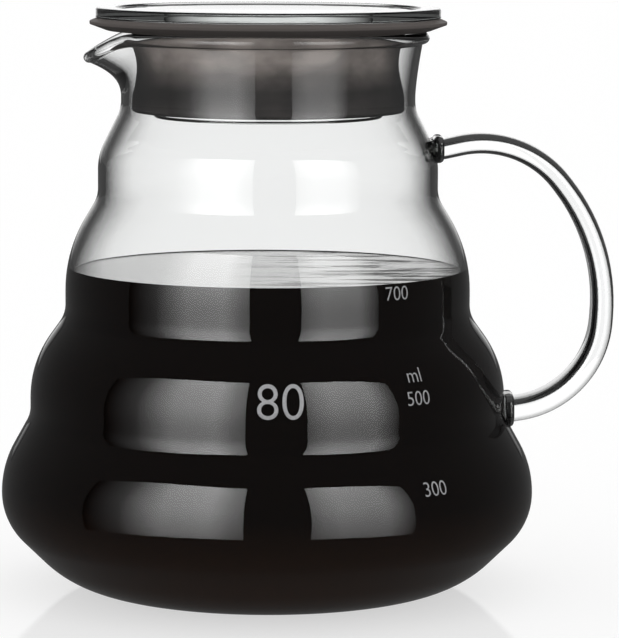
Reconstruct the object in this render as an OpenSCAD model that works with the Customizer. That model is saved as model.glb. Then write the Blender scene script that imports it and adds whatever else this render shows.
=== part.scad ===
// Glass coffee server: a blown bowl with three tiers and a pulled pouring lip,
// a bent glass handle fused on through two pads, and a clear lid whose hollow
// stem carries a waisted silicone seal.
// The origin is the centre of the foot, +Z is up, the lip points along -X and
// the handle stands out along +X. All sizes are in millimetres.

/* [Bowl] */
// Outside diameter at the widest place
bowl_d = 127; // [110:1:140]
// Height from the table to the step below the lower tier
bowl_h = 41.6; // [38:0.2:46]
// Diameter at which the underside meets the table
foot_d = 92.8; // [86:0.4:98]
// Thickness of the blown wall
wall = 1.8; // [1.4:0.1:2.4]
// Thickness of the glass floor
floor_t = 2.6; // [2:0.1:4]
// Height of the corner between the side and the underside
belly_z = 16.8; // [14:0.2:19]
// Rounding between the side and the underside
belly_round = 24; // [18:1:28]
// Rounding between the underside and the foot
foot_round = 26; // [16:1:32]

/* [Tiers] */
// How far the lower tier stands in from the bowl's widest place
tier3_in = 6.9; // [5:0.1:9]
// How far the middle tier stands in from the lower one
tier2_in = 8.4; // [6:0.1:11]
// How far the upper tier stands in from the middle one
tier1_in = 7.8; // [6:0.1:10]
// Height of the lower tier
tier3_h = 24; // [20:0.5:29]
// Height of the middle tier
tier2_h = 28; // [23:0.5:33]
// Height of the upper tier
tier1_h = 21; // [17:0.5:25]
// Rounding at the top of the bowl
bowl_crest_round = 37; // [28:1:44]
// Rounding at the top of the lower tier
tier3_crest_round = 25; // [15:1:30]
// Rounding at the top of the middle tier
tier2_crest_round = 33; // [20:1:38]
// Rounding at the top of the upper tier
tier1_crest_round = 14; // [8:1:20]
// Rounding of the hollow under each tier
step_round = 8; // [4:0.5:10]

/* [Neck and lip] */
// How far the neck stands in from the upper tier
neck_in = 5.5; // [4:0.1:7]
// Height of the neck's straight waist
neck_h = 3.8; // [3:0.2:5]
// Height from the waist to the top of the rim
mouth_h = 14.6; // [12:0.2:18]
// Rounding between the neck and the upper tier
neck_round = 8; // [5:0.5:10]
// How far the middle of the rim's bead stands outside the neck
rim_flare = 1.9; // [1:0.1:3]
// Thickness of the bead along the rim
bead_d = 2.8; // [2.4:0.1:3.4]
// How far the lip is pulled outwards
lip_reach = 5.6; // [4:0.1:8]
// How far the lip is drawn down below the rim
lip_drop = 4.9; // [3:0.1:6]
// Half of the angle of the rim that the lip takes up
lip_half = 34; // [24:1:45]

/* [Handle] */
// Reach of the handle, from the upper pad's face to its outer side
handle_reach = 41.5; // [36:0.5:48]
// Thickness of the bent rod at its upper end, seen from the side
rod_top_t = 4.9; // [4.2:0.1:6]
// Thickness of the bent rod at its lower end, seen from the side
rod_low_t = 5.8; // [4.6:0.1:6.6]
// Breadth of the bent rod, seen from the end
rod_b = 12.4; // [9:0.2:14]
// Squareness of the rod's section, from 2 for an oval towards a flat bar
rod_square = 2.1; // [2:0.1:5]
// Height of the upper pad above the step below the upper tier
upper_pad_rise = 11.6; // [9:0.2:13]
// Height of the lower pad above the step below the lower tier
lower_pad_rise = 1.3; // [0:0.1:4]
// Height of the upper pad, seen from the side
upper_pad_d = 6.6; // [6.2:0.2:8]
// Height of the lower pad, seen from the side
lower_pad_d = 8.8; // [7.6:0.2:10]
// How far the pads stand out beside the rod, on each side
pad_beside = 0.8; // [0.5:0.1:1.5]
// How far each pad's face stands outside the wall at the pad's middle
pad_t = 2.2; // [1.6:0.1:3.4]
// Rounding of the pads' edges
pad_round = 0.7; // [0.3:0.1:1]
// Rounding at the top of the handle
handle_top_round = 24; // [18:1:26]
// Rounding along the grip
handle_grip_round = 45; // [36:1:56]
// Rounding at the bottom of the handle
handle_low_round = 23; // [16:1:26]

/* [Lid] */
// How far the clear disc stands out over the rim's bead
disc_over = 2.7; // [1.6:0.1:4]
// Thickness of the clear disc
disc_t = 2.5; // [2:0.1:4]
// Width of the raised border round the disc's shallow dish
disc_border = 4.6; // [3:0.2:8]
// Depth of the disc's shallow dish
dish_depth = 0.5; // [0.3:0.1:0.9]
// Rounding of the disc's edge
disc_round = 0.8; // [0.3:0.1:1]
// Wall of the hollow stem
stem_wall = 1.8; // [1.2:0.1:2.4]
// How far the stem stands out below the seal
stem_show = 1.6; // [0.8:0.1:3]

/* [Seal] */
// How far the flange stands out round the clear disc
flange_over = 1.4; // [0.8:0.1:3]
// Thickness of the flange where it lies on the rim
flange_t = 2.8; // [2:0.1:3.6]
// How far the flange's thin edge curls up from the rim
flange_curl = 1.5; // [0.8:0.1:2]
// Thickness of the flange's thin edge
flange_edge_t = 0.7; // [0.5:0.1:1]
// Length of the plug below the flange
plug_h = 19.4; // [16:0.2:21]
// Gap between the top of the plug and the width of the neck, on each side
plug_top_gap = 0.5; // [0.3:0.1:1.2]
// Gap between the plug's lower ring and the glass, on each side
plug_gap = 0.8; // [0.5:0.1:1.4]
// Height of the plug's lower ring
plug_ring_h = 4.2; // [3:0.2:5]
// How far the plug's waist goes in from its lower ring
plug_waist_in = 1.8; // [0.8:0.1:3]
// Thickness of the plug's wall at its waist
plug_wall = 3.1; // [2:0.1:5]
// Rounding of the plug's waist
plug_waist_round = 14; // [8:1:20]
// Rounding of the plug's lower ring
plug_ring_round = 1.2; // [0.6:0.1:1.4]
// Gap between the stem and the seal, on each side
stem_gap = 0.2; // [0.1:0.05:0.4]
// Gap between the seal and the rim, and between the disc and the seal
seat_gap = 0.15; // [0.1:0.05:0.3]

/* [Hidden] */

// Part of each tier's height over which the wall slopes outwards, from the neck down
slope_shares = [0.53, 0.465, 0.487, 0.5];
// Corners of the handle's middle line, as shares of its reach and of the pads' distance
handle_corner_shares = [[0.447, 1.066], [0.946, 0.643], [0.884, 0.053]];
// Part of a straight that the roundings at its two ends may use up
straight_share = 0.98;
// Degrees of arc for each straight piece of an outline
arc_step = 9;
// Sides of the round pieces, of the lip's fan and of the rest of the rim
round_sides = 120;
lip_sides = 24;
back_sides = 48;
// Levels of the wall between the waist and the rim, and steps round the bead
mouth_levels = 8;
bead_steps = 8;
// Sides of the handle's oval section and of the pads' round ends
rod_sides = 24;
pad_sides = 48;
// How sharply the lip comes to its point, and how the flare and the pull grow upwards
lip_point = 1.2;
flare_power = 1.4;
pull_power = 2.5;
drop_power = 1.2;
// Depth and clearance of the tongue with which the mouth is rooted in the neck
tongue_h = 1.2;
tongue_inset = 0.06;
tongue_share = 0.4;

bowl_r = bowl_d / 2;
foot_r = foot_d / 2;
tier3_r = bowl_r - tier3_in;
tier2_r = tier3_r - tier2_in;
tier1_r = tier2_r - tier1_in;
neck_r = tier1_r - neck_in;
step3_z = bowl_h;
step2_z = step3_z + tier3_h;
step1_z = step2_z + tier2_h;
neck_low_z = step1_z + tier1_h;
mouth_z = neck_low_z + neck_h / 2;
rim_z = neck_low_z + neck_h + mouth_h;
upper_pad_z = step1_z + upper_pad_rise;
lower_pad_z = step3_z + lower_pad_rise;
bead_r = bead_d / 2;
bead_z = rim_z - bead_r;
rim_r = neck_r + rim_flare;
plug_top_r = neck_r - wall - plug_top_gap;
plug_ring_r = neck_r - wall - plug_gap;
plug_waist_r = plug_ring_r - plug_waist_in;
bore_r = plug_waist_r - plug_wall;
stem_r = bore_r - stem_gap;
disc_r = rim_r + bead_r + disc_over;
flange_r = disc_r + flange_over;
seat_z = rim_z + seat_gap;
disc_z = seat_z + flange_t + seat_gap;
plug_low_z = seat_z - plug_h;

function flat(p) = [p[0], p[1]];
function unit(v) = v / norm(v);
function cross2(a, b) = a[0] * b[1] - a[1] * b[0];
function along(p, i) = unit(flat(p[i + 1]) - flat(p[i]));
function leg(p, i) = norm(flat(p[i + 1]) - flat(p[i]));
function inner_end(p, i) = i > 0 && i < len(p) - 1;

// Angle by which a path turns at its corner i, positive to the left
function turn(p, i) =
    let (a = along(p, i - 1), b = along(p, i))
    atan2(cross2(a, b), a * b);

// Length of straight that the rounding of corner i would like to use
function wish(p, i) = inner_end(p, i) ? p[i][2] * tan(abs(turn(p, i)) / 2) : 0;

// Length that it gets, where two roundings share one straight in proportion
function reach(p, i) =
    let (before = straight_share * leg(p, i - 1) / max(wish(p, i - 1) + wish(p, i), straight_share),
         after = straight_share * leg(p, i) / max(wish(p, i) + wish(p, i + 1), straight_share))
    wish(p, i) * min(1, before, after);

// Centre, radius, first angle and turn of the arc at corner i
function arc_at(p, i) =
    let (bend = turn(p, i),
         radius = reach(p, i) / tan(abs(bend) / 2),
         side = sign(bend) * [-along(p, i - 1)[1], along(p, i - 1)[0]],
         start = flat(p[i]) - reach(p, i) * along(p, i - 1),
         centre = start + radius * side)
    [centre, radius, atan2(-side[1], -side[0]), bend];

// Points of a path of [x, y, rounding] corners, with its corners rounded
function rounded(p) = [
    for (i = [0 : len(p) - 1])
        if (!inner_end(p, i) || p[i][2] == 0 || abs(turn(p, i)) < 1)
            flat(p[i])
        else
            let (arc = arc_at(p, i), steps = max(1, ceil(abs(arc[3]) / arc_step)))
            each [for (k = [0 : steps])
                let (a = arc[2] + arc[3] * k / steps)
                arc[0] + arc[1] * [cos(a), sin(a)]]
];

// The same path moved to its right by the distance d, with its roundings fitted
function moved_in(p, d) = [
    for (i = [0 : len(p) - 1])
        let (a = along(p, max(i - 1, 0)),
             b = along(p, min(i, len(p) - 2)),
             to_right = [a[1] + b[1], -a[0] - b[0]],
             spot = flat(p[i]) + to_right * d / (1 + a * b),
             bend = inner_end(p, i) ? sign(turn(p, i)) : 0)
        [spot[0], spot[1], max(p[i][2] + bend * d, 0)]
];

// Outside of the bowl, from the mouth down to the middle of the foot
function tier_top(high, low, share) = high - share * (high - low);
outer_corners = [
    [neck_r, mouth_z, 0],
    [neck_r, neck_low_z, neck_round],
    [tier1_r, tier_top(neck_low_z, step1_z, slope_shares[0]), tier1_crest_round],
    [tier1_r, step1_z, step_round],
    [tier2_r, tier_top(step1_z, step2_z, slope_shares[1]), tier2_crest_round],
    [tier2_r, step2_z, step_round],
    [tier3_r, tier_top(step2_z, step3_z, slope_shares[2]), tier3_crest_round],
    [tier3_r, step3_z, step_round],
    [bowl_r, tier_top(step3_z, belly_z, slope_shares[3]), bowl_crest_round],
    [bowl_r, belly_z, belly_round],
    [foot_r, 0, foot_round],
    [0, 0, 0]
];
outer_line = rounded(outer_corners);

// Inside of the bowl: the wall's thickness in from the outside, over a thicker floor
inner_corners = [
    for (i = [0 : len(outer_corners) - 1])
        let (c = moved_in(outer_corners, wall)[i])
        [c[0], i < len(outer_corners) - 2 ? c[1] : floor_t, c[2]]
];
inner_line = rounded(inner_corners);

// Radius of the outside at the height z
function outside_at(z) =
    lookup(z, [for (i = [len(outer_line) - 2 : -1 : 0]) [outer_line[i][1], outer_line[i][0]]]);

// The mouth: the waist of the neck, the flared wall and the bead, drawn upwards
lip_foot_z = mouth_z + tongue_h;
function clamped(v) = min(max(v, 0), 1);
function wall_out(t) = [neck_r + rim_flare * pow(t, flare_power), lip_foot_z + t * (bead_z - lip_foot_z)];
function wall_in(t) = wall_out(t) - [wall + (bead_r - wall) * t, 0];
bead_foot = 1 - bead_r / (bead_z - lip_foot_z);
mouth_profile = concat(
    [[neck_r - wall / 2 + tongue_share * wall / 2, mouth_z - tongue_h]],
    [[neck_r - tongue_inset, mouth_z]],
    [for (k = [0 : mouth_levels]) wall_out(bead_foot * k / mouth_levels)],
    [for (k = [1 : bead_steps])
        let (a = -90 + 270 * k / (bead_steps + 1))
        [rim_r + bead_r * cos(a), bead_z + bead_r * sin(a)]],
    [for (k = [mouth_levels : -1 : 0]) wall_in(k / mouth_levels)],
    [[neck_r - wall + tongue_inset, mouth_z]],
    [[neck_r - wall / 2 - tongue_share * wall / 2, mouth_z - tongue_h]]
);

// Directions round the mouth, closer together along the lip
mouth_turns = concat(
    [for (k = [0 : lip_sides - 1]) 180 - lip_half + 2 * lip_half * k / lip_sides],
    [for (k = [0 : back_sides - 1]) 180 + lip_half + (360 - 2 * lip_half) * k / back_sides]
);

// How much of the lip's pull a direction gets, and a profile point that has been pulled
function pull(a) =
    abs(a - 180) < lip_half ? pow((1 + cos((a - 180) * 180 / lip_half)) / 2, lip_point) : 0;
function flared_r(z) = neck_r + rim_flare * pow(clamped((z - lip_foot_z) / (bead_z - lip_foot_z)), flare_power);

// How far up the pulled wall a profile point is: its inner side lags behind by its depth in the
// glass, so that the wall keeps its thickness, and the bead moves as a whole
function rise(q) =
    let (depth = max(flared_r(q[1]) - q[0], 0))
    clamped((q[1] - depth - lip_foot_z) / (bead_z - bead_r - lip_foot_z));
function pulled(q, a) =
    let (r = q[0] + lip_reach * pull(a) * pow(rise(q), pull_power))
    [r * cos(a), r * sin(a), q[1] - lip_drop * pull(a) * pow(rise(q), drop_power)];

module mouth() {
    count = len(mouth_profile);
    turns = len(mouth_turns);
    points = [for (a = mouth_turns) for (q = mouth_profile) pulled(q, a)];
    faces = [
        for (i = [0 : turns - 1]) for (j = [0 : count - 1])
            let (i2 = (i + 1) % turns, j2 = (j + 1) % count,
                 a = i * count + j, b = i2 * count + j, c = i2 * count + j2, d = i * count + j2)
            each [[a, d, c], [a, c, b]]
    ];
    polyhedron(points, faces);
}

module bowl_shell() {
    rotate_extrude($fn = round_sides)
        polygon(concat(outer_line, [for (i = [len(inner_line) - 1 : -1 : 0]) inner_line[i]]));
}

module bowl_solid() {
    rotate_extrude($fn = round_sides)
        polygon(concat(outer_line, [[0, mouth_z]]));
}

module glass_body() {
    color("lightcyan", 0.5)
        union() {
            bowl_shell();
            mouth();
        }
}

// Faces of the pads, where the handle's two ends are fused on
upper_face_x = outside_at(upper_pad_z) + pad_t;
lower_face_x = outside_at(lower_pad_z) + pad_t;
handle_corners = concat(
    [[upper_face_x, upper_pad_z, 0]],
    [for (k = [0 : len(handle_corner_shares) - 1])
        [upper_face_x + handle_corner_shares[k][0] * handle_reach,
         lower_pad_z + handle_corner_shares[k][1] * (upper_pad_z - lower_pad_z),
         [handle_top_round, handle_grip_round, handle_low_round][k]]],
    [[lower_face_x, lower_pad_z, 0]]
);

handle_line = rounded(handle_corners);

// Thickness of the rod at the height z: it thickens towards the lower pad
function rod_t(z) =
    rod_low_t + (rod_top_t - rod_low_t) * min(max((z - lower_pad_z) / (upper_pad_z - lower_pad_z), 0), 1);

// Way of the rod at its station i, square to the pads' faces at its two ends
function rod_way(i) =
    !inner_end(handle_line, i) ? [i == 0 ? 1 : -1, 0]
    : unit(along(handle_line, i - 1) + along(handle_line, i));

// The section of the rod at its station i: an oval drawn out towards a rounded bar
function squared(v) = sign(v) * pow(abs(v), 2 / rod_square);
function rod_ring(i) =
    let (way = rod_way(i), spot = handle_line[i], t = rod_t(spot[1]))
    [for (k = [0 : rod_sides - 1])
        let (out = t / 2 * squared(cos(360 * k / rod_sides)),
             across = rod_b / 2 * squared(sin(360 * k / rod_sides)))
        [spot[0] - out * way[1], across, spot[1] + out * way[0]]];

module handle() {
    last = len(handle_line) - 1;
    points = [for (i = [0 : last]) each rod_ring(i)];
    sides = [
        for (i = [0 : last - 1]) for (k = [0 : rod_sides - 1])
            let (k2 = (k + 1) % rod_sides,
                 a = i * rod_sides + k, b = a + rod_sides, c = i * rod_sides + k2 + rod_sides, d = c - rod_sides)
            each [[a, b, c], [a, c, d]]
    ];
    start_cap = [[for (k = [0 : rod_sides - 1]) k]];
    end_cap = [[for (k = [rod_sides - 1 : -1 : 0]) last * rod_sides + k]];
    color("azure", 0.6)
        polyhedron(points, concat(sides, start_cap, end_cap));
}

// A pad of glass with round ends, a little broader than the rod and fitted to the wall behind it
module pad(z, d, face_x) {
    button = rounded([[0, d, 0], [d / 2, d, pad_round], [d / 2, 0, 0], [0, 0, 0]]);
    end_y = rod_b / 2 + pad_beside - d / 2;
    color("powderblue", 0.7)
        difference() {
            translate([face_x - d, 0, z])
                rotate([0, 90, 0])
                    hull()
                        for (y = [-end_y, end_y])
                            translate([0, y, 0])
                                rotate_extrude($fn = pad_sides)
                                    polygon(button);
            bowl_solid();
        }
}

module upper_handle_pad() {
    pad(upper_pad_z, upper_pad_d, upper_face_x);
}

module lower_handle_pad() {
    pad(lower_pad_z, lower_pad_d, lower_face_x);
}

module lid_disc() {
    dish_r = disc_r - disc_border;
    top_z = disc_z + disc_t;
    stem_z = plug_low_z - stem_show;
    outline = rounded([
        [0, top_z - dish_depth, 0],
        [dish_r - dish_depth, top_z - dish_depth, dish_depth],
        [dish_r, top_z, dish_depth],
        [disc_r, top_z, disc_round],
        [disc_r, disc_z, disc_round],
        [stem_r, disc_z, 0],
        [stem_r, stem_z, stem_wall / 2],
        [stem_r - stem_wall, stem_z, stem_wall / 2],
        [stem_r - stem_wall, disc_z, stem_wall],
        [0, disc_z, 0]
    ]);
    color("aliceblue", 0.6)
        rotate_extrude($fn = round_sides)
            polygon(outline);
}

module lid_seal() {
    flange_z = seat_z + flange_t;
    ring_top_z = plug_low_z + plug_ring_h;
    waist_z = (ring_top_z + seat_z) / 2;
    edge_z = seat_z + flange_curl;
    outline = rounded([
        [bore_r, flange_z, 0],
        [bore_r, plug_low_z, 0],
        [plug_ring_r, plug_low_z, plug_ring_round],
        [plug_ring_r, ring_top_z, plug_ring_h],
        [plug_waist_r, waist_z, plug_waist_round],
        [plug_top_r, seat_z, flange_t / 4],
        [rim_r + bead_r, seat_z, flange_t],
        [flange_r, edge_z, 0],
        [flange_r, edge_z + flange_edge_t, 0],
        [disc_r, flange_z, flange_edge_t],
        [bore_r, flange_z, 0]
    ]);
    color("dimgray")
        rotate_extrude($fn = round_sides)
            polygon(outline);
}

glass_body();
handle();
upper_handle_pad();
lower_handle_pad();
lid_disc();
lid_seal();
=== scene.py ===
"""Glass coffee server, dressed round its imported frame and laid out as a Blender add-on.

The origin is the centre of the foot, +Z is up, the lip points along -X and the handle
stands out along +X. Every length is in metres, and a setting's default is written in millimetres.
"""

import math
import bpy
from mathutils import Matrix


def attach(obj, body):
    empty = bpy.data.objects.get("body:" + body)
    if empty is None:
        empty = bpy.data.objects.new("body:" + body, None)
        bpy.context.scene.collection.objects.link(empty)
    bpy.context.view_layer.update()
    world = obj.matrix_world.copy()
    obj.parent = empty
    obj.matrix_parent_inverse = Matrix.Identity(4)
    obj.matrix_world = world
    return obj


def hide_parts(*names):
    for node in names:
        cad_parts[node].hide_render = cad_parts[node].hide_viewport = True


bl_info = {
    "name": "Glass Coffee Server",
    "version": (1, 0, 0),
    "blender": (4, 5, 0),
    "location": "View3D > Sidebar > Server",
    "description": "Blown glass coffee server with its handle, lid, coffee and studio",
    "category": "Add Mesh",
}

import bpy
from mathutils import Matrix, Vector

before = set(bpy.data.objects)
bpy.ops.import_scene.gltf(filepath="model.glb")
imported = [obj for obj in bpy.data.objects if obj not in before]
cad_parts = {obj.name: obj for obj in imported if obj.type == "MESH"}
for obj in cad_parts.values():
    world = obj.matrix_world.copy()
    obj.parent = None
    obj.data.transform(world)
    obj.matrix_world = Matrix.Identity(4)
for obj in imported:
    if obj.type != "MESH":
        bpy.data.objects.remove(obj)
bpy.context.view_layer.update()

MM = 0.001
AXIS = (0.0, 0.0, 1.0)
# Degrees of arc for each straight piece of a drawn outline
FINE_ARC = 3.0
# A path that bends by fewer degrees than this at a corner isn't rounded there
SLIGHT_BEND = 1.0
# Part of a straight that the roundings at its two ends may use up
STRAIGHT_SHARE = 0.98
# Two points nearer than this are one
WELD = MM * 0.0005
# Sides of the turned glass and of the turned lid
GLASS_SIDES = 192
LID_SIDES = 160
# Corners of the handle's path, as shares of its reach and of the height between its pads
HANDLE_CORNERS = ((0.447, 1.066), (0.946, 0.643), (0.884, 0.053))
# Colour that light takes on inside the blown glass
GLASS_SMOKE = (0.55, 0.6, 0.59)
# Collection of the pieces that the light panels leave out
UNLIT = "not_lit_by_panels"


# Settings

def length(name, millimetres, description):
    """A length that a user may change."""
    return bpy.props.FloatProperty(
        name=name,
        description=description,
        default=millimetres * MM,
        min=0.0,
        precision=5,
        subtype="DISTANCE",
        unit="LENGTH",
    )


def share(name, value, description):
    """A plain number or share that a user may change."""
    return bpy.props.FloatProperty(name=name, description=description, default=value, precision=4)


def angle(name, degrees, description):
    """An angle that a user may change."""
    return bpy.props.FloatProperty(
        name=name,
        description=description,
        default=math.radians(degrees),
        subtype="ANGLE",
        unit="ROTATION",
    )


def colour(name, value, description):
    """A colour that a user may change."""
    return bpy.props.FloatVectorProperty(
        name=name,
        description=description,
        default=value,
        size=3,
        min=0.0,
        max=1.0,
        subtype="COLOR",
    )


class BowlSizes(bpy.types.PropertyGroup):
    """Sizes of the blown bowl, its tiers, neck, rim and lip"""

    width: length("Bowl width", 127, "Outside diameter at the widest place")
    height: length("Bowl height", 41.6, "Height from the table to the step below the lower tier")
    foot: length("Foot", 92.8, "Diameter at which the underside meets the table")
    wall: length("Wall", 1.8, "Thickness of the blown wall")
    floor: length("Floor", 2.6, "Thickness of the glass floor")
    belly: length("Belly height", 16.8, "Height of the corner between side and underside")
    belly_round: length("Belly rounding", 24, "Rounding between side and underside")
    foot_round: length("Foot rounding", 26, "Rounding between underside and foot")
    lower_in: length("Lower tier inset", 6.9, "How far the lower tier stands in from the bowl")
    middle_in: length("Middle tier inset", 8.4, "How far the middle tier stands in from the lower")
    upper_in: length("Upper tier inset", 7.8, "How far the upper tier stands in from the middle")
    neck_in: length("Neck inset", 5.5, "How far the neck stands in from the upper tier")
    lower_height: length("Lower tier height", 24, "Height of the lower tier")
    middle_height: length("Middle tier height", 28, "Height of the middle tier")
    upper_height: length("Upper tier height", 21, "Height of the upper tier")
    neck_height: length("Neck height", 3.8, "Height of the neck's straight waist")
    mouth_height: length("Mouth height", 14.6, "Height from the waist to the top of the rim")
    bowl_crest: length("Bowl crest", 37, "Rounding at the top of the bowl")
    lower_crest: length("Lower crest", 25, "Rounding at the top of the lower tier")
    middle_crest: length("Middle crest", 33, "Rounding at the top of the middle tier")
    upper_crest: length("Upper crest", 14, "Rounding at the top of the upper tier")
    step: length("Step rounding", 8, "Rounding of the hollow under each tier")
    flare: length("Rim flare", 1.9, "How far the bead's middle stands outside the neck")
    bead: length("Bead", 2.8, "Thickness of the bead along the rim")
    lip_reach: length("Lip reach", 5.6, "How far the lip is pulled outwards")
    lip_drop: length("Lip drop", 4.9, "How far the lip is drawn down")
    lip_half: angle("Lip half angle", 34, "Half of the angle of the rim that the lip takes up")


class HandleSizes(bpy.types.PropertyGroup):
    """Sizes of the bent glass handle and the two pads that fuse it on"""

    reach: length("Reach", 41.5, "From the upper pad's face to the handle's outer side")
    top_thickness: length("Upper thickness", 4.9, "Thickness of the handle at its upper end")
    low_thickness: length("Lower thickness", 5.8, "Thickness of the handle at its lower end")
    breadth: length("Breadth", 12.4, "Breadth of the handle, seen from its end")
    squareness: share("Squareness", 2.7, "Power of the handle's section; 2 is an oval")
    upper_rise: length("Upper pad", 11.6, "Height of the upper pad above its tier's step")
    lower_rise: length("Lower pad", 1.3, "Height of the lower pad above its tier's step")
    upper_pad: length("Upper pad size", 6.0, "Height of the upper pad, seen from the side")
    lower_pad: length("Lower pad size", 7.8, "Height of the lower pad, seen from the side")
    beside: length("Beside the handle", 0.8, "How far the pads stand out beside the handle")
    pad: length("Pad thickness", 2.2, "How far each pad's face stands outside the wall")
    pad_round: length("Pad rounding", 1.0, "Rounding of the pads' edges")
    top_round: length("Top rounding", 24, "Rounding at the top of the handle")
    grip_round: length("Grip rounding", 45, "Rounding along the grip")
    low_round: length("Low rounding", 23, "Rounding at the bottom of the handle")


class LidSizes(bpy.types.PropertyGroup):
    """Sizes of the clear disc with its stem, and of the silicone collar"""

    disc_over: length("Disc overhang", 2.7, "How far the disc stands out over the rim's bead")
    disc: length("Disc thickness", 2.5, "Thickness of the clear disc")
    border: length("Disc border", 4.6, "Width of the raised border round the shallow dish")
    dish: length("Dish depth", 0.5, "Depth of the shallow dish")
    disc_round: length("Disc rounding", 0.5, "Rounding of the disc's edge")
    stem_wall: length("Stem wall", 1.8, "Wall of the hollow stem")
    stem_root: length("Stem root", 0.3, "Rounding between the stem and the disc")
    stem_show: length("Stem end", 1.6, "How far the stem stands out below the collar")
    flange_over: length("Flange overhang", 1.4, "How far the flange stands out round the disc")
    flange: length("Flange thickness", 2.8, "Thickness of the flange where it lies on the rim")
    curl: length("Flange curl", 1.5, "How far the flange's edge curls up from the rim")
    flange_edge: length("Flange edge", 0.7, "Thickness of the flange's thin edge")
    plug: length("Plug length", 19.4, "Length of the plug below the flange")
    top_gap: length("Upper plug gap", 0.5, "Gap between the top of the plug and the neck")
    ring_gap: length("Ring gap", 0.8, "Gap between the plug's lower ring and the glass")
    ring: length("Ring height", 4.2, "Height of the plug's lower ring")
    waist_in: length("Waist depth", 1.8, "How far the plug's waist goes in")
    plug_wall: length("Plug wall", 3.1, "Thickness of the plug's wall at its waist")
    waist_round: length("Waist rounding", 14, "Rounding of the plug's waist")
    ring_round: length("Ring rounding", 1.2, "Rounding of the plug's lower ring")
    stem_gap: length("Stem gap", 0.2, "Gap between the stem and the collar")
    seat_gap: length("Seat gap", 0.15, "Gap where the collar and the disc lie")


class CoffeeSizes(bpy.types.PropertyGroup):
    """The coffee in the bowl and the printed volume scale"""

    level: length("Coffee level", 76.4, "Height of the coffee's surface")
    meniscus: length("Meniscus", 0.35, "How far the coffee climbs the glass")
    meniscus_width: length("Meniscus width", 0.8, "How far in the climb dies away")
    mark_700: length("700 mark", 74.6, "Height at which the number 700 stands")
    mark_500: length("500 mark", 51.3, "Height at which the number 500 stands")
    mark_300: length("300 mark", 31.2, "Height at which the number 300 stands")
    unit_mark: length("Unit mark", 56.4, "Height at which the unit stands")
    large_mark: length("Large mark", 51.6, "Height at which the large number stands")
    number_height: length("Number height", 3.3, "Height of the volume scale's numbers")
    scale_turn: angle("Scale turn", 38, "Where the volume scale stands, round from the front")
    large_height: length("Large number height", 8.2, "Height of the large number at the front")
    large_turn: angle("Large number turn", 3, "Where the large number stands, round from the front")


class Finishes(bpy.types.PropertyGroup):
    """Colours of the glass, the silicone, the coffee and the print"""

    glass: colour("Glass", (0.996, 1.0, 0.998), "Colour of the blown glass")
    lid_glass: colour("Lid glass", (0.93, 0.94, 0.935), "Colour of the clear lid")
    silicone: colour("Silicone", (0.03, 0.03, 0.031), "Colour of the silicone collar")
    # Painted light: the colour given to the silicone where light comes through it
    smoke_and_glow: colour("Lit silicone", (0.5, 0.44, 0.41), "Silicone where light comes through it")
    coffee: colour("Coffee", (0.0035, 0.0018, 0.0012), "Colour of the deep coffee")
    # Also the painted light towards the bottom of the coffee, as well as the colour of its surface's
    # streaks
    thin_coffee: colour("Thin coffee", (0.028, 0.014, 0.008), "Coffee where it is thin")
    print: colour("Print", (0.6, 0.6, 0.62), "Colour of the printed scale")
    ground: colour("Ground", (0.5, 0.5, 0.5), "Colour of the studio's floor")


class StudioSettings(bpy.types.PropertyGroup):
    """The camera's place and the level of the lights"""

    distance: length("Camera distance", 901.8, "From the server's axis to the camera")
    camera_height: length("Camera height", 171.36, "Height of the camera")
    aim_x: length("Aim across", 10.0, "Where the camera looks, along X")
    aim_z: length("Aim height", 64.32, "Where the camera looks, up")
    lens: share("Lens", 214.5, "Focal length in millimetres on a 36 mm frame")
    roll: angle("Roll", 0.23, "Turn of the camera about its view")
    daylight: share("Daylight", 0.62, "Level of the soft light from all sides")
    gloom: share("Gloom", 0.1, "Level of the room in mirrored light")
    panel: share("Panels", 7.5, "Level of the two panels as the glass shows them")
    backdrop: share("Backdrop", 1.15, "Level of the white backdrop as the glass shows it")


GROUPS = {
    "bowl": BowlSizes,
    "handle": HandleSizes,
    "lid": LidSizes,
    "coffee": CoffeeSizes,
    "finish": Finishes,
    "studio": StudioSettings,
}


class ServerSettings(bpy.types.PropertyGroup):
    """All the settings of the coffee server"""

    bowl: bpy.props.PointerProperty(type=BowlSizes)
    handle: bpy.props.PointerProperty(type=HandleSizes)
    lid: bpy.props.PointerProperty(type=LidSizes)
    coffee: bpy.props.PointerProperty(type=CoffeeSizes)
    finish: bpy.props.PointerProperty(type=Finishes)
    studio: bpy.props.PointerProperty(type=StudioSettings)


# Outlines

def way(path, i):
    """Direction of the straight from corner i to the next."""
    return Vector((path[i + 1][0] - path[i][0], path[i + 1][1] - path[i][1])).normalized()


def leg(path, i):
    """Length of that straight."""
    return math.hypot(path[i + 1][0] - path[i][0], path[i + 1][1] - path[i][1])


def bend(path, i):
    """Angle by which the path turns at its corner i, positive to the left."""
    a, b = way(path, i - 1), way(path, i)
    return math.atan2(a.x * b.y - a.y * b.x, a.dot(b))


def wish(path, i):
    """Length of straight that the rounding of corner i would like to use."""
    if 0 < i < len(path) - 1:
        return path[i][2] * math.tan(abs(bend(path, i)) / 2)
    return 0.0


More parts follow.
